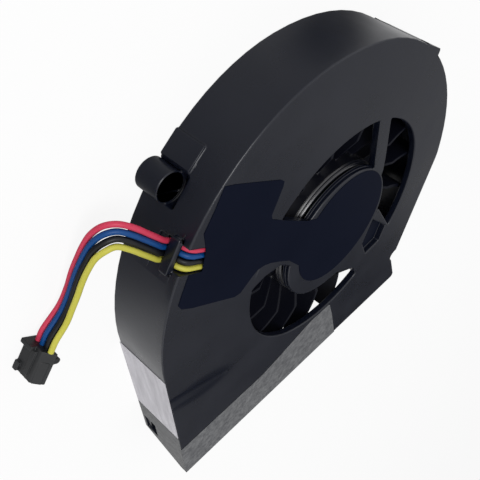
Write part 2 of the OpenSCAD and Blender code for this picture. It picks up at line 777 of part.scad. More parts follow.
// Round tube of eight sides along a route; before and after are the points that the route
// comes from and goes on to, so that two tubes that meet share one end face
module tube(path, r, before, after) {
    sides = 8;
    last = len(path) - 1;
    way = concat([before], path, [after]);
    tangents = [for (i = [0:last]) unit(way[i + 2] - way[i])];
    points = [for (i = [0:last]) let (t = tangents[i], u = unit(cross([0, 0, 1], t)), v = cross(t, u))
        for (j = [0:sides - 1]) path[i] + r * cos(j * 45) * u + r * sin(j * 45) * v];
    walls = [for (i = [0:last - 1]) for (j = [0:sides - 1])
        let (a = i * sides + j, b = i * sides + (j + 1) % sides, c = b + sides, d = a + sides)
        each [[a, d, c], [a, c, b]]];
    polyhedron(points,
        concat([[for (j = [0:sides - 1]) j]], [[for (j = [sides - 1:-1:0]) last * sides + j]], walls));
}

// Lead from the board along the channel to the point where the free wire begins
function lead_path(i) =
    let (side = (i - 1.5) * wire_pitch,
        at = function(r, z) concat(polar(r, lead_angle) + polar(side, lead_angle + 90), [z]))
    [at(lead_start - 1, face_in + wire_r + 0.02), at(lead_start, face_in + wire_r + 0.02),
        at(lead_start + 1.4, face_in + wire_r + 0.05),
        at(slot_r1 + 0.3, lead_z), at(rim_r - 12, lead_z),
        at(rim_r - 3.2, lead_z), at(rim_r - 1.9, lead_z - 0.5), at(rim_r - 1.1, exit_z + 0.3),
        at(exit_r, exit_z)];

// The lead lies in the channel, and the free wire goes on from its end to the plug
module lead(i, route) {
    path = lead_path(i);
    tube([for (k = [1:len(path) - 1]) path[k]], wire_r, path[0], route[0]);
}

module free_wire(i, route) {
    path = lead_path(i);
    last = len(path) - 1;
    tube(concat([path[last]], route), wire_r, path[last - 1],
        route[len(route) - 1] + concat(polar(1, plug_angle), [0]));
}

module red_lead() {
    color("#cf4a62") at_axis() lead(0, wire_red_route);
}
module blue_lead() {
    color("#1a5088") at_axis() lead(1, wire_blue_route);
}
module black_lead() {
    color("#23242c") at_axis() lead(2, wire_black_route);
}
module yellow_lead() {
    color("#cdc65a") at_axis() lead(3, wire_yellow_route);
}
module wire_red() {
    color("#cf4a62") at_axis() free_wire(0, wire_red_route);
}
module wire_blue() {
    color("#1a5088") at_axis() free_wire(1, wire_blue_route);
}
module wire_black() {
    color("#23242c") at_axis() free_wire(2, wire_black_route);
}
module wire_yellow() {
    color("#cdc65a") at_axis() free_wire(3, wire_yellow_route);
}

module at_plug() {
    translate([wire_red_route[13][0], wire_red_route[13][1], plug_z0]) rotate([0, 0, plug_angle])
        children();
}

// Sockets of the plug, open at the mating end
module plug_sockets(side, len) {
    for (i = [0:3])
        translate([plug_len - len, -side / 2, plug_end_wall + i * plug_pitch - side / 2])
        cube([len + cut, side, side]);
}

// The plug's body is slanted at one corner; it has a lip at the wire end, a toe at the mating
// end, a ridge between them, a rounded ear and four slots over the contacts
module plug_housing() {
    back = plug_side - plug_t;
    color("#2a2c30") at_axis() at_plug() difference() {
        union() {
            rotate([90, 0, 90]) linear_extrude(plug_len) polygon([[back, 0], [plug_side, 0],
                [plug_side, plug_h], [plug_side - 0.2, plug_h], [back + 0.2, plug_h - plug_slant],
                [back, plug_h - plug_slant - 0.2]]);
            translate([0, back - plug_lip, 0]) cube([plug_lip_len, plug_lip + 0.2, plug_h / 2]);
            translate([plug_len - plug_toe_len, back - plug_toe, 0])
                cube([plug_toe_len, plug_toe + 0.2, 1]);
            translate([plug_lip_len - 0.1, back - ridge_h, plug_end_wall + plug_pitch])
                cube([plug_len - 2 * plug_lip_len, ridge_h + 0.2, 0.8]);
            translate([1.3, plug_side + ear_r, plug_h - 0.9]) cylinder(h = 0.9, r = ear_r);
            translate([1.3 - ear_r, plug_side - 0.1, plug_h - 0.9])
                cube([2 * ear_r, ear_r + 0.1, 0.9]);
        }
        plug_sockets(pocket_side, pocket_len);
        for (i = [0:3]) translate([plug_len - 0.8, back - cut, plug_end_wall + i * plug_pitch - 0.25])
            cube([0.8 + cut, cut + 0.5, 0.5]);
    }
}

module plug_terminals() {
    color("#c9b36a") at_axis() at_plug() intersection() {
        plug_sockets(pocket_side - 0.1, pocket_len);
        cube([2 * (plug_len - 1), plug_t * 2, plug_h * 2], center = true);
    }
}

housing_shell();
face_plate();
post_boss();
tongue_boss();
back_cover();
bearing_holder();
bearing_sleeve();
thrust_pad();
retaining_washer();
stator_core();
bobbin_upper();
bobbin_lower();
coil_windings();
circuit_board();
driver_chip();
board_parts();
solder_joints();
impeller();
rotor_yoke();
rotor_magnet();
shaft();
face_label();
outlet_tape();
side_tape();
red_lead();
blue_lead();
black_lead();
yellow_lead();
wire_red();
wire_blue();
wire_black();
wire_yellow();
plug_housing();
plug_terminals();
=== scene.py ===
import bmesh
import bpy
import math
from mathutils import Matrix, Vector


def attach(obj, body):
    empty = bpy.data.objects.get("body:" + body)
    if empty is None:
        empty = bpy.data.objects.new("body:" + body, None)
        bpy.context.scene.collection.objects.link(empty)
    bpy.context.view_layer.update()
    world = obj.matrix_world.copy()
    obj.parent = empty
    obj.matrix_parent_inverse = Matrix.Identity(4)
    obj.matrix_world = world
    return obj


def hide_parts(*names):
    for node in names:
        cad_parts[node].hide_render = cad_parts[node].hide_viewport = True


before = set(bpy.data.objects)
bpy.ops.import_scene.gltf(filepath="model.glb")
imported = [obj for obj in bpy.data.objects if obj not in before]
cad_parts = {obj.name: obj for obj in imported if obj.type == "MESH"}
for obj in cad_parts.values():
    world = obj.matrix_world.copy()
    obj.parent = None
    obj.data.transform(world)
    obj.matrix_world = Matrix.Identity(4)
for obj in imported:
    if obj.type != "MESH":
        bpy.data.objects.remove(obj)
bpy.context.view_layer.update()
scene = bpy.context.scene

MM = 0.001
# The rotor's axis, in mm in the shared frame. Wires, plug and lathed rings are placed from it
AXIS = Vector((4.75, -1.0, 0.0))


# Small helpers

def linear(code):
    """An sRGB hex colour as linear RGBA."""
    values = [int(code[i:i + 2], 16) / 255 for i in (1, 3, 5)]
    return (*[v / 12.92 if v <= 0.04045 else ((v + 0.055) / 1.055) ** 2.4 for v in values], 1.0)


WHITE = linear("#ffffff")


def from_axis(x, y, z):
    """A point given in millimetres from the spin axis, in metres in the shared frame."""
    return (AXIS + Vector((x, y, z))) * MM


def made(name, data):
    """A new object in the scene."""
    piece = bpy.data.objects.new(name, data)
    scene.collection.objects.link(piece)
    return piece


def add(tree, kind, inputs=None, **settings):
    """Adds a shader node with its settings; an input is a value or the socket that feeds it."""
    node = tree.nodes.new("ShaderNode" + kind)
    for name, value in settings.items():
        setattr(node, name, value)
    for key, value in (inputs or {}).items():
        if isinstance(value, bpy.types.NodeSocket):
            tree.links.new(value, node.inputs[key])
        else:
            node.inputs[key].default_value = value
    return node


# Camera at the photograph's viewing angle: its place in mm, its axes, its lens and sensor in mm

CAMERA_AT = (-69.73, 97.60, 58.12)
CAMERA_RIGHT = (0.698172, 0.000676, 0.715929)
CAMERA_UP = (0.544170, 0.649317, -0.531287)
CAMERA_BACK = (-0.465225, 0.760517, 0.452968)
CAMERA_LENS = 51.57
CAMERA_SENSOR = 36

camera = made("camera", bpy.data.cameras.new("camera"))
camera.data.sensor_width = CAMERA_SENSOR
camera.data.lens = CAMERA_LENS
camera.data.clip_start = 0.01
camera.data.clip_end = 20
turn = Matrix((CAMERA_RIGHT, CAMERA_UP, CAMERA_BACK)).transposed().to_4x4()
camera.matrix_world = Matrix.Translation(Vector(CAMERA_AT) * MM) @ turn
scene.camera = camera

# Cords: the four free wires, on the routes of their solids, and their leads in the channel

WIRE_R = 0.45
# The leads lie side by side in the channel, which points this way from the spin axis
PITCH = 1.05
LEAD_ANGLE = math.radians(147)
# The scroll's radius there, and the leads' heights in the channel and where they leave the wall
RIM = 45.016
LEAD_Z = 10.9
EXIT_Z = 7.8
# A lead's way as distance from the spin axis and height: out of the motor, along the channel,
# over the rim and down behind the strap
LEAD_WAY = [(9, 10.47), (10.4, 10.5), (12.7, LEAD_Z), (16, LEAD_Z), (RIM - 12, LEAD_Z),
            (RIM - 7, LEAD_Z), (RIM - 5, LEAD_Z), (RIM - 3.5, LEAD_Z),
            (RIM - 2.4, LEAD_Z - 0.05), (RIM - 1.5, LEAD_Z - 0.45),
            (RIM - 0.95, LEAD_Z - 1.4), (RIM - 0.8, EXIT_Z + 0.55)]


def in_channel(distance, height, lane):
    """A point of a lead: distance from the spin axis along the channel, height, lane 0 to 3."""
    side = (lane - 1.5) * PITCH
    along = Vector((math.cos(LEAD_ANGLE), math.sin(LEAD_ANGLE)))
    across = Vector((-along.y, along.x))
    spot = along * distance + across * side
    return (spot.x, spot.y, height)


# The free wires from the strap to the plug, in mm from the spin axis, and their lengths in metres
ROUTES = {
    "red": [(-37.85, 26.75, 7.85), (-38.69, 27.95, 8), (-40.28, 30.21, 8.05), (-42.1, 32.6, 7.7),
            (-43.75, 33.85, 6.7), (-45.3, 33.75, 5.5), (-46.5, 32.15, 4.2), (-47.5, 30.1, 3.35),
            (-48.4, 27.9, 2.7), (-49.5, 25.3, 2.1), (-50.7, 22.4, 1.7), (-52.5, 19.6, 1.4),
            (-55.65, 17.25, 1.3), (-56.9, 15.7, 1.3)],
    "blue": [(-38.42, 25.87, 7.85), (-39.2, 27.04, 8), (-40.78, 29.3, 8.05), (-42.65, 31.75, 7.8),
             (-44.2, 33, 6.95), (-45.75, 32.9, 6), (-46.95, 31.5, 4.95), (-48, 29.4, 4.1),
             (-48.9, 27.3, 3.5), (-50, 24.8, 3), (-51.2, 22, 2.6), (-52.9, 19.5, 2.4),
             (-55.65, 17.25, 2.3), (-56.9, 15.7, 2.3)],
    "black": [(-38.98, 24.98, 7.85), (-39.75, 26.18, 7.95), (-41.33, 28.4, 8), (-43.15, 30.9, 7.9),
              (-44.65, 32.2, 7.25), (-46.15, 32.1, 6.55), (-47.5, 30.75, 5.6), (-48.4, 28.8, 4.9),
              (-49.4, 26.7, 4.3), (-50.5, 24.2, 3.9), (-51.6, 21.7, 3.6), (-53.2, 19.4, 3.4),
              (-55.65, 17.25, 3.3), (-56.9, 15.7, 3.3)],
    "yellow": [(-39.55, 24.1, 7.9), (-40.31, 25.27, 8.1), (-41.79, 27.44, 8.3),
               (-43.55, 29.85, 8.15), (-45.15, 31.35, 7.6), (-46.7, 31.4, 7.2),
               (-47.9, 30.25, 6.4), (-48.95, 28.1, 5.65), (-49.9, 26, 5.15),
               (-50.9, 23.7, 4.8), (-52.1, 21.4, 4.5), (-53.5, 19.3, 4.4),
               (-55.65, 17.25, 4.3), (-56.9, 15.7, 4.3)],
}


def smooth_route(points, steps=6):
    """Points of a smooth curve that passes through all the given points."""
    ends = [points[0] * 2 - points[1], *points, points[-1] * 2 - points[-2]]
    route = []
    for a, b, c, d in zip(ends, ends[1:], ends[2:], ends[3:]):
        for k in range(steps):
            t = k / steps
            route.append((b * 2 + (c - a) * t + (a * 2 - b * 5 + c * 4 - d) * t ** 2
                          + (b * 3 - a - c * 3 + d) * t ** 3) / 2)
    return [*route, points[-1]]


def round_wire(name, points):
    """A round insulated wire along a smooth route through points in millimetres."""
    curve = bpy.data.curves.new(name, "CURVE")
    curve.dimensions = "3D"
    curve.bevel_depth = WIRE_R * MM
    curve.bevel_resolution = 3
    curve.use_fill_caps = True
    route = smooth_route([from_axis(*p) for p in points])
    spline = curve.splines.new("POLY")
    spline.points.add(len(route) - 1)
    for spot, place in zip(spline.points, route):
        spot.co = (*place, 1.0)
    spline.use_smooth = True
    return made(name, curve)


wires = {}
leads = {}
for lane, (colour, points) in enumerate(ROUTES.items()):
    rim_end = in_channel(RIM + 0.2, EXIT_Z, lane)
    wires[colour] = round_wire("free_wire_" + colour, [rim_end, *points])
    leads[colour] = round_wire("channel_lead_" + colour,
                               [*(in_channel(*spot, lane) for spot in LEAD_WAY), rim_end])

# Pieces that are refined from their solids. Lengths and heights are in mm, angles in degrees

# Points this close are one: in a solid, in a rounded piece, and across a sliver. Heights this
# close are the same
JOIN_SOLID = 0.002
JOIN_ROUNDED = 0.005
SLIVER = 0.002
SAME_HEIGHT = 0.01
# Faces that differ by less than this are merged
FLAT = 0.4
# Edges that turn by more than this are rounded
SHARP = 34
# How strongly the large faces set the shading of their corners
LARGE_FACES = 80
# Rounds of mending, because a lost point's neighbours may be lost too
MEND_ROUNDS = 3

# The labelled face, and the dished triangle in the lower right arm: the height of its floor, how
# much deeper it is here, as far as the plate allows, and the material slot of its painted shade
FACE_Z = 11.5
DISH_FLOOR = 10.8
DISH_DEEPER = 0.65
DISH_SLOT = 1

# Rounded lower edge of the base disc, over the rotor, and rounded rim of the hub, each as radius
# and height
DISC_LIP = [(13.9, 10.9), (14.12, 10.72), (14.22, 10.45), (14.12, 10.2), (13.9, 10.05)]
HUB_BEAD = [(14.2, 8.5), (14.36, 8.65), (14.35, 8.75), (14.0, 9.38), (13.85, 9.55), (13.62, 9.66),
            (13.35, 9.62), (13.3, 9.3)]


def surface_of(source, name, flat=FLAT):
    """A mesh like the source's, its points joined, and faces merged that differ by under flat."""
    shape = bmesh.new()
    shape.from_mesh(source)
    bmesh.ops.remove_doubles(shape, verts=shape.verts, dist=JOIN_SOLID * MM)
    bmesh.ops.dissolve_limit(shape, angle_limit=math.radians(flat), verts=shape.verts,
                             edges=shape.edges, use_dissolve_boundaries=False)
    mesh = bpy.data.meshes.new(name)
    shape.to_mesh(mesh)
    shape.free()
    return mesh


def lathed(mesh, profile, steps=120):
    """Adds a closed ring round the spin axis to a mesh; the profile is radius and height."""
    shape = bmesh.new()
    shape.from_mesh(mesh)
    turns = [math.tau * k / steps for k in range(steps)]
    rings = [[shape.verts.new(from_axis(radius * math.cos(t), radius * math.sin(t), height))
              for t in turns] for radius, height in profile]
    for low, high in zip(rings, rings[1:] + rings[:1]):
        for k in range(steps):
            shape.faces.new((low[k], low[k - 1], high[k - 1], high[k]))
    shape.to_mesh(mesh)
    shape.free()


def one_moulding(first, second):
    """The surface of two solids that are moulded in one, without the face between them."""
    parts = [made(node + "_part", surface_of(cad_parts[node].data, node + "_part", flat=0.0))
             for node in (first, second)]
    union = parts[0].modifiers.new("union", "BOOLEAN")
    union.operation = "UNION"
    union.solver = "EXACT"
    union.object = parts[1]
    bpy.context.view_layer.update()
    ready = parts[0].evaluated_get(bpy.context.evaluated_depsgraph_get())
    mesh = bpy.data.meshes.new_from_object(ready)
    for part in parts:
        bpy.data.objects.remove(part)
    dish = {point.index for point in mesh.vertices
            if abs(point.co.z - DISH_FLOOR * MM) < SAME_HEIGHT * MM}
    for face in mesh.polygons:
        if dish.issuperset(face.vertices):
            face.material_index = DISH_SLOT
    for i in dish:
        mesh.vertices[i].co.z -= DISH_DEEPER * MM
    lathed(mesh, DISC_LIP)
    return mesh


def settled(piece, top):
    """Applies a piece's rounding, joins the points that meet and keeps all at or below the top."""
    bpy.context.view_layer.update()
    ready = piece.evaluated_get(bpy.context.evaluated_depsgraph_get())
    shape = bmesh.new()
    shape.from_mesh(ready.to_mesh())
    piece.modifiers.clear()
    # A point that the rounding lost, where slivers meet, goes to the middle of its neighbours
    lost = [point for point in shape.verts if math.isnan(point.co.x)]
    for point in lost * MEND_ROUNDS:
        near = [edge.other_vert(point).co for edge in point.link_edges]
        near = [place for place in near if not math.isnan(place.x)]
        if near:
            point.co = sum(near, Vector()) / len(near)
    loose = [point for point in shape.verts if math.isnan(point.co.x) or not point.link_faces]
    bmesh.ops.delete(shape, geom=loose, context="VERTS")
    for point in shape.verts:
        point.co.z = min(point.co.z, top * MM)
    bmesh.ops.remove_doubles(shape, verts=shape.verts, dist=JOIN_ROUNDED * MM)
    bmesh.ops.dissolve_degenerate(shape, edges=shape.edges, dist=SLIVER * MM)
    mesh = bpy.data.meshes.new(piece.name)
    shape.to_mesh(mesh)
    shape.free()
    piece.data = mesh
    bpy.context.view_layer.update()


def refined(mesh, name, edge, steps, top=None):
    """A piece with softly rounded edges. With a top, none of it stands higher."""
    for face in mesh.polygons:
        face.use_smooth = True
    piece = made(name, mesh)
    bevel = piece.modifiers.new("rounded_edges", "BEVEL")
    bevel.width = edge * MM
    bevel.segments = steps
    bevel.limit_method = "ANGLE"
    bevel.angle_limit = math.radians(SHARP)
    bevel.use_clamp_overlap = False
    bevel.miter_outer = "MITER_ARC"
    if top:
        settled(piece, top)
    weighted = piece.modifiers.new("flat_faces", "WEIGHTED_NORMAL")
    weighted.keep_sharp = True
    weighted.weight = LARGE_FACES
    return piece


# Materials. Sizes and depths are in mm

# Where a noise's values mostly lie
NOISE_SPAN = {"From Min": 0.3, "From Max": 0.7}
# How much rougher or smoother the patches are than the rest
PLASTIC_DRIFT = 0.05
METAL_DRIFT = 0.06
# The fan wheel's patches, and the width over which its blades' finish and painted shade turn into
# the hub's finish and painted highlight
WHEEL_PATCH = 6
WHEEL_EDGE = 0.3
HUB_R = 14.35
# The scoop's painted shade, a soft patch of lower IOR as moulded_plastic takes it, and how much of
# such a patch is its fading edge
SCOOP_SHADE_PATCH = (-32.1, -12.7, 10.5, 3.8, -19, 1.2)
SHADE_PATCH_EDGE = 0.45
# The foils' mottle, and how far up their normal points where they are turned down and level, for
# the painted shade where they turn down
FOIL_MOTTLE = 1.1
FOIL_SHADE_TURN = {"From Min": 0.3, "From Max": 0.9}
# The dusty patches on the leads, and their height
PVC_BLOOM = 3
PVC_WAVE = 0.03


def new_material(name):
    """A material with an empty tree, and the place on the object in metres."""
    material = bpy.data.materials.new(name)
    material.use_nodes = True
    tree = material.node_tree
    tree.nodes.clear()
    place = add(tree, "TexCoord").outputs["Object"]
    return material, tree, place


def finish_material(material, surface):
    """Ends a material with its surface."""
    add(material.node_tree, "OutputMaterial", {"Surface": surface.outputs[0]})
    return material


def moulded_plastic(name, body, patch, roughness, cloud, grain, depth, ior=1.46, shade_patch=None):
    """Injection-moulded plastic: a slow drift of tone and gloss over a spark-eroded grain, which
    is drawn coarser than the real one so that it shows. cloud and grain are sizes, depth the
    grain's height. A painted shade is a soft patch of lower IOR that reflects less and stands in
    for the shade in a hollow: its middle, half length and half width, its turn in degrees and the
    IOR there."""
    material, tree, place = new_material(name)
    slow = add(tree, "TexNoise", {"Vector": place, "Scale": 1 / (cloud * MM), "Detail": 3.0})
    fine = add(tree, "TexNoise", {"Vector": place, "Scale": 1 / (grain * MM), "Detail": 4.0})
    tone = add(tree, "Mix", {0: slow.outputs[0], 6: linear(body), 7: linear(patch)},
               data_type="RGBA")
    gloss = add(tree, "MapRange", {"Value": slow.outputs[0], **NOISE_SPAN,
                                   "To Min": roughness - PLASTIC_DRIFT,
                                   "To Max": roughness + PLASTIC_DRIFT})
    relief = add(tree, "Bump", {"Height": fine.outputs[0], "Distance": depth * MM,
                                "Strength": 0.6})
    # Painted shade: a soft patch where the IOR falls, so that the plastic reflects less there
    if shade_patch:
        x, y, length, width, degrees, least = shade_patch
        near = add(tree, "Mapping", {"Vector": place, "Location": (x * MM, y * MM, 0),
                                     "Rotation": (0, 0, math.radians(degrees)),
                                     "Scale": (length * MM, width * MM, 1)},
                   vector_type="TEXTURE")
        within = add(tree, "TexGradient", {"Vector": near.outputs[0]}, gradient_type="SPHERICAL")
        ior = add(tree, "MapRange", {"Value": within.outputs["Fac"], "From Max": SHADE_PATCH_EDGE,
                                     "To Min": ior, "To Max": least},
                  interpolation_type="SMOOTHSTEP").outputs[0]
    surface = add(tree, "BsdfPrincipled", {"Base Color": tone.outputs[2], "IOR": ior,
                                           "Roughness": gloss.outputs[0],
                                           "Normal": relief.outputs[0]})
    return finish_material(material, surface)


def fan_wheel(name, body, patch, hub_r):
    """Moulded fan wheel: matt blades round a glossier hub. Its IOR is painted: low on the blades
    for a painted shade, high on the hub for a painted highlight on its rim.
    """
    material, tree, place = new_material(name)
    slow = add(tree, "TexNoise", {"Vector": place, "Scale": 1 / (WHEEL_PATCH * MM),
                                  "Detail": 2.0})
    tone = add(tree, "Mix", {0: slow.outputs[0], 6: linear(body), 7: linear(patch)},
               data_type="RGBA")
    level = add(tree, "VectorMath", {0: place, 1: (1, 1, 0)}, operation="MULTIPLY")
    reach = add(tree, "VectorMath", {0: level.outputs[0], 1: (*(AXIS.xy * MM), 0)},
                operation="DISTANCE")
    hub = add(tree, "MapRange", {"Value": reach.outputs["Value"], "From Min": hub_r * MM,
                                 "From Max": (hub_r + WHEEL_EDGE) * MM,
                                 "To Min": 1.0, "To Max": 0.0})
    gloss = add(tree, "MapRange", {"Value": hub.outputs[0], "To Min": 0.5, "To Max": 0.3})
    # Painted shade and highlight: the IOR is low on the blades, which darkens them, and high on the
    # hub, which brightens its rim
    painted_sheen_ior = add(tree, "MapRange", {"Value": hub.outputs[0], "To Min": 1.2, "To Max": 1.72})
    surface = add(tree, "BsdfPrincipled", {"Base Color": tone.outputs[2], "IOR": painted_sheen_ior.outputs[0],
                                           "Roughness": gloss.outputs[0]})
    return finish_material(material, surface)


def worked_metal(name, body, patch, roughness, grain, depth, stretch=(1, 1, 1)):
    """Metal whose tool marks run along the axes with the largest stretch. The marks are drawn
    coarser than the real ones so that they show."""
    material, tree, place = new_material(name)
    lay = add(tree, "Mapping", {"Vector": place, "Scale": [1 / s for s in stretch]})
    marks = add(tree, "TexNoise", {"Vector": lay.outputs[0], "Scale": 1 / (grain * MM),
                                   "Detail": 5.0})
    tone = add(tree, "Mix", {0: marks.outputs[0], 6: linear(body), 7: linear(patch)},
               data_type="RGBA")
    gloss = add(tree, "MapRange", {"Value": marks.outputs[0], **NOISE_SPAN,
                                   "To Min": roughness - METAL_DRIFT,
                                   "To Max": roughness + METAL_DRIFT})
    relief = add(tree, "Bump", {"Height": marks.outputs[0], "Distance": depth * MM,
                                "Strength": 0.5})
    surface = add(tree, "BsdfPrincipled", {"Base Color": tone.outputs[2], "Metallic": 1.0,
                                           "Roughness": gloss.outputs[0],
                                           "Normal": relief.outputs[0]})
    return finish_material(material, surface)


def pvc_insulation(name, body, worn):
    """Extruded soft PVC: satin and faintly uneven, with a slightly dusty bloom."""
    material, tree, place = new_material(name)
    bloom = add(tree, "TexNoise", {"Vector": place, "Scale": 1 / (PVC_BLOOM * MM),
                                   "Detail": 3.0})
    tone = add(tree, "Mix", {0: bloom.outputs[0], 6: linear(body), 7: linear(worn)},
               data_type="RGBA")
    relief = add(tree, "Bump", {"Height": bloom.outputs[0], "Distance": PVC_WAVE * MM})
    surface = add(tree, "BsdfPrincipled", {"Base Color": tone.outputs[2], "Roughness": 0.42,
                                           "IOR": 1.36, "Normal": relief.outputs[0]})
    return finish_material(material, surface)


def foil_tape(name, body, smudge, crease_size, depth, streak=1.0, turned_shade=1.0):
    """Thin adhesive foil: mottled grey with shallow creases where it was smoothed down. streak
    draws the mottle out along the side wall; the last is a painted shade, how bright the foil's
    colour stays where it's turned down."""
    material, tree, place = new_material(name)
    drawn = add(tree, "Mapping", {"Vector": place, "Scale": (1, 1 / streak, 1)})
    mottle = add(tree, "TexNoise", {"Vector": drawn.outputs[0], "Scale": 1 / (FOIL_MOTTLE * MM),
                                    "Detail": 6.0, "Roughness": 0.6})
    spread = add(tree, "MapRange", {"Value": mottle.outputs[0], **NOISE_SPAN})
    creases = add(tree, "TexNoise", {"Vector": place, "Scale": 1 / (crease_size * MM),
                                     "Detail": 2.0, "Distortion": 1.5})
    tone = add(tree, "Mix", {0: spread.outputs[0], 6: linear(body), 7: linear(smudge)},
               data_type="RGBA")
    # Painted shade: the foil's colour darkens where it turns down to face sideways
    facing = add(tree, "SeparateXYZ", {"Vector": add(tree, "NewGeometry").outputs["Normal"]})
    painted_turn_shade = add(tree, "MapRange", {"Value": facing.outputs["Z"], **FOIL_SHADE_TURN,
                                    "To Min": turned_shade, "To Max": 1.0})
    tone = add(tree, "VectorMath", {0: tone.outputs[2], "Scale": painted_turn_shade.outputs[0]},
               operation="SCALE")
    relief = add(tree, "Bump", {"Height": creases.outputs[0], "Distance": depth * MM})
    surface = add(tree, "BsdfPrincipled", {"Base Color": tone.outputs[0], "Metallic": 0.35,
                                           "Roughness": 0.5, "Normal": relief.outputs[0]})
    return finish_material(material, surface)


MATERIALS = {
    # Glass-filled PBT, injection moulded: near-black with a cool cast and a satin skin, and a
    # painted shade in the scoop, where it reflects less
    "housing_plastic": moulded_plastic("pbt_moulded_black", "#0a0e1a", "#0f1320", 0.3, 9, 0.7,
                                       0.012, ior=1.45, shade_patch=SCOOP_SHADE_PATCH),
    # The bottom of the dished triangle: rougher, and a painted shade, with an IOR so low that it
    # throws back little light and the recess stays dark
    "dish_painted_shade": moulded_plastic("pbt_matt_painted_shade", "#0a0e1a", "#0f1320", 0.6, 9, 0.7,
                                      0.02, ior=1.12),
    # The same plastic from a smoother tool
    "cover_plastic": moulded_plastic("pbt_moulded_smooth", "#0c0e16", "#13151d", 0.36, 8, 0.6,
                                     0.008, ior=1.45),
    # PBT fan wheel: matt blades and a glossier hub, with painted shade on the blades and a painted
    # highlight on the hub
    "impeller_plastic": fan_wheel("pbt_fan_wheel", "#070811", "#0b0d17", HUB_R),
    # Turned brass: warm, with fine rings across the axis
    "holder_brass": worked_metal("brass_turned", "#b8923f", "#cfae5e", 0.28, 0.5, 0.004,
                                 (6, 6, 1)),
    # Oil-filled sintered bronze: dull brown with open pores
    "sintered_bronze": worked_metal("bronze_sintered", "#8a6236", "#5d4024", 0.55, 0.25, 0.02),
    # Acetal bearing parts: waxy off-white
    "bearing_plastic": moulded_plastic("acetal_machined", "#dcd8cc", "#e6e2d8", 0.35, 4, 0.5,
                                       0.004),
    # Punched silicon-steel sheets: thin horizontal lines between the laminations
    "lamination_steel": worked_metal("silicon_steel_laminated", "#5c6066", "#8b8f96", 0.4, 0.35,
                                     0.02, (8, 8, 1)),
    # Unfilled nylon bobbins: milky
    "bobbin_plastic": moulded_plastic("nylon_moulded_natural", "#d3cdb9", "#ddd8c8", 0.45, 4, 0.5,
                                      0.006),
    # Enamelled copper wire: glossy red-brown with the ribs of its turns
    "enamelled_copper": worked_metal("copper_enamelled", "#a4511f", "#7c3a14", 0.25, 0.3, 0.03,
                                     (1, 6, 6)),
    # Glass-epoxy board under green solder mask
    "board_laminate": moulded_plastic("glass_epoxy_masked", "#10231a", "#173023", 0.35, 2.5, 0.4,
                                      0.01),
    # Epoxy-moulded chip: matt black
    "chip_plastic": moulded_plastic("epoxy_transfer_moulded", "#1a1b1e", "#222327", 0.55, 1.5,
                                    0.25, 0.006),
    # Fired ceramic capacitors with their tan body
    "chip_ceramic": moulded_plastic("ceramic_fired", "#a98c66", "#bea27e", 0.4, 1.0, 0.3, 0.005),
    # Soft solder: bright grey and slightly frosted
    "solder": worked_metal("solder_reflowed", "#b9bbbf", "#d2d4d7", 0.3, 0.4, 0.01),
    # Deep-drawn steel yoke with a zinc flash
    "yoke_steel": worked_metal("steel_drawn_zinc", "#8f949b", "#a8adb3", 0.32, 0.8, 0.006,
                               (1, 1, 8)),
    # Plastic-bonded ferrite magnet: charcoal, finely gritty
    "bonded_magnet": moulded_plastic("ferrite_bonded", "#35322e", "#46423c", 0.6, 1.6, 0.3, 0.02),
    # Ground steel shaft: fine rings round the axis
    "shaft_steel": worked_metal("steel_ground", "#b6bac0", "#cfd3d8", 0.18, 0.3, 0.002,
                                (8, 8, 1)),
    # Black polyester film over the motor: blue-black and smoother than the plastic round it
    "label_film": moulded_plastic("polyester_film_black", "#0f1321", "#141826", 0.34, 12, 2.5,
                                  0.006, ior=1.06),
    # Grey foil over the outlet's edge, with a painted shade where it turns down
    "grey_foil": foil_tape("aluminium_foil_grey", "#858688", "#55565a", 4, 0.12, turned_shade=0.45),
    # Paler foil on the side wall
    "pale_foil": foil_tape("aluminium_foil_pale", "#cfcdd3", "#b0aeb4", 3, 0.08, streak=8.0),
    # The four leads
    "red_insulation": pvc_insulation("pvc_extruded_red", "#c22a47", "#cf4460"),
    "blue_insulation": pvc_insulation("pvc_extruded_blue", "#003a78", "#044784"),
    "black_insulation": pvc_insulation("pvc_extruded_black", "#07080c", "#0e0f14"),
    "yellow_insulation": pvc_insulation("pvc_extruded_yellow", "#bcb73f", "#c9c455"),
    # Nylon plug: dark grey with a low sheen
    "plug_plastic": moulded_plastic("nylon_moulded_black", "#101214", "#1a1b1e", 0.46, 2.5, 0.4,
                                    0.01),
    # Tinned brass contacts
    "contact_brass": worked_metal("brass_stamped", "#c0a35a", "#d8c48c", 0.3, 0.4, 0.004,
                                  (1, 6, 6)),
}

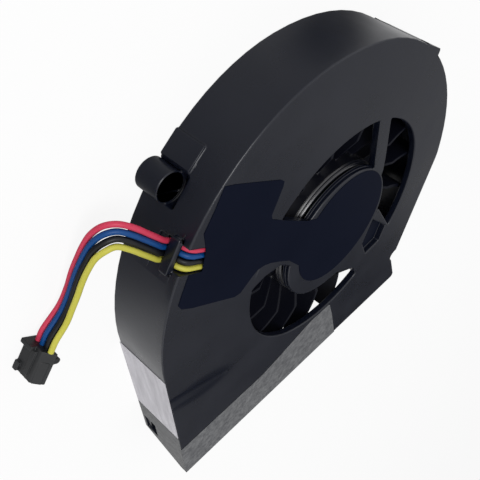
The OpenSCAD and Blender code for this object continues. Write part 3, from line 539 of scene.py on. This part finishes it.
# Each other solid: its body, its finish, and the rounding of its edges in mm and in steps
SURFACES = [
    ("post_boss", "housing", "housing_plastic", 0.2, 3),
    ("tongue_boss", "housing", "housing_plastic", 0.12, 2),
    ("back_cover", "housing", "cover_plastic", 0.15, 2),
    ("bearing_holder", "housing", "holder_brass", 0.08, 2),
    ("bearing_sleeve", "housing", "sintered_bronze", 0.08, 2),
    ("thrust_pad", "housing", "bearing_plastic", 0.06, 2),
    ("retaining_washer", "housing", "bearing_plastic", 0.03, 2),
    ("stator_core", "housing", "lamination_steel", 0.06, 2),
    ("bobbin_upper", "housing", "bobbin_plastic", 0.06, 2),
    ("bobbin_lower", "housing", "bobbin_plastic", 0.06, 2),
    ("coil_windings", "housing", "enamelled_copper", 0.25, 3),
    ("circuit_board", "housing", "board_laminate", 0.05, 2),
    ("driver_chip", "housing", "chip_plastic", 0.08, 2),
    ("board_parts", "housing", "chip_ceramic", 0.06, 2),
    ("solder_joints", "housing", "solder", 0.15, 3),
    ("impeller", "rotor", "impeller_plastic", 0.12, 2),
    ("rotor_yoke", "rotor", "yoke_steel", 0.08, 2),
    ("rotor_magnet", "rotor", "bonded_magnet", 0.08, 2),
    ("shaft", "rotor", "shaft_steel", 0.12, 2),
    ("face_label", "housing", "label_film", 0.03, 1),
    ("outlet_tape", "housing", "grey_foil", 0.03, 1),
    ("side_tape", "housing", "pale_foil", 0.03, 1),
    ("plug_housing", "housing", "plug_plastic", 0.1, 2),
    ("plug_terminals", "housing", "contact_brass", 0.05, 2),
]

# The plug: where its wire end stands and which way it points. Two thin walls close the slots over
# its contacts and the slanted face, each an outline across the plug and up, with its two ends
PLUG_AT = Vector((-56.9, 15.7, 0.2))
PLUG_WAY = Vector((-0.62775, -0.77841, 0))
PLUG_WALLS = [([(-1.14, 0.5), (-1.0, 0.5), (-1.0, 3.7), (-1.14, 3.7)], (4.55, 5.4)),
              ([(-1.0, 3.74), (0.3, 4.49), (0.3, 4.6), (-1.0, 3.85)], (1.7, 5.4))]
# The topmost contact stays under the slanted face
CONTACT_TOP = 4.3


def plug_walls(mesh):
    """Adds the thin walls to the plug's mesh."""
    across = Vector((-PLUG_WAY.y, PLUG_WAY.x, 0))
    shape = bmesh.new()
    shape.from_mesh(mesh)
    for outline, ends in PLUG_WALLS:
        near, far = [[shape.verts.new(from_axis(*(PLUG_AT + PLUG_WAY * x + across * y
                                                  + Vector((0, 0, z))))) for y, z in outline]
                     for x in ends]
        walls = [shape.faces.new(near[::-1]), shape.faces.new(far)]
        for k in range(len(outline)):
            walls.append(shape.faces.new((near[k - 1], near[k], far[k], far[k - 1])))
        bmesh.ops.recalc_face_normals(shape, faces=walls)
    shape.to_mesh(mesh)
    shape.free()


pieces = {}


def fit_piece(piece, body, slot, *nodes):
    """Gives a piece its finish and lets it ride and stand for its solids."""
    piece.data.materials.append(MATERIALS[slot])
    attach(piece, body)
    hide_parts(*nodes)
    pieces[nodes[0]] = piece


fit_piece(refined(one_moulding("housing_shell", "face_plate"), "housing_moulding", 0.28, 3,
                  top=FACE_Z),
          "housing", "housing_plastic", "housing_shell", "face_plate")
# The dished triangle's floor takes the painted shade
pieces["housing_shell"].data.materials.append(MATERIALS["dish_painted_shade"])
for node, body, slot, edge, steps in SURFACES:
    mesh = surface_of(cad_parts[node].data, node + "_refined")
    if node == "impeller":
        lathed(mesh, HUB_BEAD)
    if node == "plug_housing":
        plug_walls(mesh)
    if node == "plug_terminals":
        for point in mesh.vertices:
            point.co.z = min(point.co.z, CONTACT_TOP * MM)
    fit_piece(refined(mesh, node + "_refined", edge, steps), body, slot, node)

for lane, colour in enumerate(ROUTES):
    for piece, node in ((wires[colour], "wire_" + colour), (leads[colour], colour + "_lead")):
        fit_piece(piece, "housing", colour + "_insulation", node)

# Floor, light, card and world. Lengths are in metres, unless a comment says mm

# How strongly the white world lights the object. A ray that looks at it sees 1
WORLD_LIGHT = 0.5
# The floor: half its side, how far it lies below the object, its tone as a matt surface, and the
# share of it that glows white where a ray looks at it
FLOOR_REACH = 6.0
FLOOR_BELOW = 0.00002
FLOOR_TONE = "#f7f7f7"
FLOOR_GLOW = 0.88
# The floor's painted reflection, which only the glossy surfaces see: paler towards y 0, beside the
# straight wall, and towards large x, and dim round two spots of painted shade, beside the crown and
# under the leads. A spot has its place, its dark and its light radius in mm, and its least share of
# the light
FLOOR_ALONG_Y = {"From Min": 0.0, "From Max": 0.04, "To Min": 0.85, "To Max": 0.5}
FLOOR_ALONG_X = {"From Min": 0.024, "From Max": 0.034, "To Min": 1.0, "To Max": 1.5}
FLOOR_SHADE_SPOTS = [(13, 43, 4, 20, 0.08), (-42, 30, 4, 32, 0.3)]
# The lamp, which aims at the object
KEY_AT = Vector((-0.25, 0.35, 0.55))
KEY_SIZE = 0.35
KEY_POWER = 2.4
# A dark card beyond the outlet that glows dimly, which only the glossy surfaces see: a painted
# reflection in the face. It brightens upwards, and turns to one tone along its width
CARD_AWAY = 0.6
CARD_WIDE = 2.2
CARD_HIGH = 0.5
CARD_TOWARD = Vector((0.6, -0.8, 0))
CARD_ALONG = Vector((0.8, 0.6, 0))
CARD_UPWARDS = {"From Min": 0.15, "From Max": 0.4, "To Min": 0.03, "To Max": 0.27}
CARD_SIDEWAYS = {"From Min": 0.0, "From Max": 0.1}
CARD_TONE = 0.3


def looked_at(tree, otherwise, seen):
    """One value where a camera, glossy or transmission ray looks, another elsewhere."""
    rays = add(tree, "LightPath").outputs
    looks = rays["Is Camera Ray"]
    for kind in ("Is Glossy Ray", "Is Transmission Ray"):
        looks = add(tree, "Math", {0: looks, 1: rays[kind]}, operation="MAXIMUM").outputs[0]
    return add(tree, "MapRange", {"Value": looks, "To Min": otherwise, "To Max": seen}).outputs[0]


def painted_shade_round(tree, place, x, y, near, far, least):
    """Painted shade of the object on the floor round a point, in mm: least of the light up to near.
    """
    spot = add(tree, "VectorMath", {0: place, 1: (x * MM, y * MM, 0)}, operation="DISTANCE")
    return add(tree, "MapRange", {"Value": spot.outputs["Value"], "From Min": near * MM,
                                  "From Max": far * MM, "To Min": least},
               interpolation_type="SMOOTHSTEP").outputs[0]


world = bpy.data.worlds.new("studio")
world.use_nodes = True
tree = world.node_tree
tree.nodes.clear()
background = add(tree, "Background", {"Color": WHITE,
                                      "Strength": looked_at(tree, WORLD_LIGHT, 1.0)})
add(tree, "OutputWorld", {"Surface": background.outputs[0]})
scene.world = world

plane = bmesh.new()
bmesh.ops.create_grid(plane, x_segments=4, y_segments=4, size=FLOOR_REACH)
floor_mesh = bpy.data.meshes.new("floor")
plane.to_mesh(floor_mesh)
plane.free()
floor = made("floor", floor_mesh)
floor.location.z = -FLOOR_BELOW
# White floor under the object: even and pale where the camera looks at it. To glossy rays it glows
# as a painted reflection, with painted gradients and painted shade round the spots
material, tree, place = new_material("matt_white_floor")
along = add(tree, "SeparateXYZ", {"Vector": place}).outputs
painted_floor_light = add(tree, "MapRange", {"Value": along["Y"], **FLOOR_ALONG_Y}).outputs[0]
shares = [painted_shade_round(tree, place, *spot) for spot in FLOOR_SHADE_SPOTS]
shares.append(add(tree, "MapRange", {"Value": along["X"], **FLOOR_ALONG_X}).outputs[0])
for share in shares:
    painted_floor_light = add(tree, "Math", {0: painted_floor_light, 1: share}, operation="MULTIPLY").outputs[0]
glow = add(tree, "Mix", {0: add(tree, "LightPath").outputs["Is Camera Ray"], 2: painted_floor_light, 3: 1.0})
lit = add(tree, "Emission", {"Color": WHITE, "Strength": glow.outputs[0]})
matt = add(tree, "BsdfDiffuse", {"Color": linear(FLOOR_TONE)})
finish_material(material, add(tree, "MixShader", {
    0: looked_at(tree, 0.0, FLOOR_GLOW), 1: matt.outputs[0], 2: lit.outputs[0]}))
floor_mesh.materials.append(material)

light = bpy.data.lights.new("key_light", "AREA")
light.shape = "DISK"
light.size = KEY_SIZE
light.energy = KEY_POWER
lamp = made("key_light", light)
lamp.location = KEY_AT
lamp.rotation_mode = "QUATERNION"
lamp.rotation_quaternion = (-KEY_AT).to_track_quat("-Z", "Y")

foot = CARD_TOWARD * CARD_AWAY
half = CARD_ALONG * (CARD_WIDE / 2)
rise = Vector((0, 0, CARD_HIGH))
card_mesh = bpy.data.meshes.new("dark_card")
card_mesh.from_pydata([foot - half, foot + half, foot + half + rise, foot - half + rise],
                      [], [(0, 1, 2, 3)])
card = made("dark_card", card_mesh)
# A card that glows dimly, a painted reflection: dark low down and brighter upwards along one half,
# and of one even tone along the other
material, tree, place = new_material("dim_glowing_card")
height = add(tree, "SeparateXYZ", {"Vector": place}).outputs["Z"]
rising = add(tree, "MapRange", {"Value": height, **CARD_UPWARDS}, interpolation_type="SMOOTHSTEP")
beside = add(tree, "VectorMath", {0: place, 1: CARD_ALONG}, operation="DOT_PRODUCT")
plain = add(tree, "MapRange", {"Value": beside.outputs["Value"], **CARD_SIDEWAYS},
            interpolation_type="SMOOTHSTEP")
tone = add(tree, "Mix", {0: plain.outputs[0], 2: rising.outputs[0], 3: CARD_TONE})
finish_material(material, add(tree, "Emission", {"Color": WHITE, "Strength": tone.outputs[0]}))
card_mesh.materials.append(material)
card.visible_camera = False
card.visible_diffuse = False
card.visible_shadow = False
card.visible_transmission = False

scene.view_settings.view_transform = "Standard"
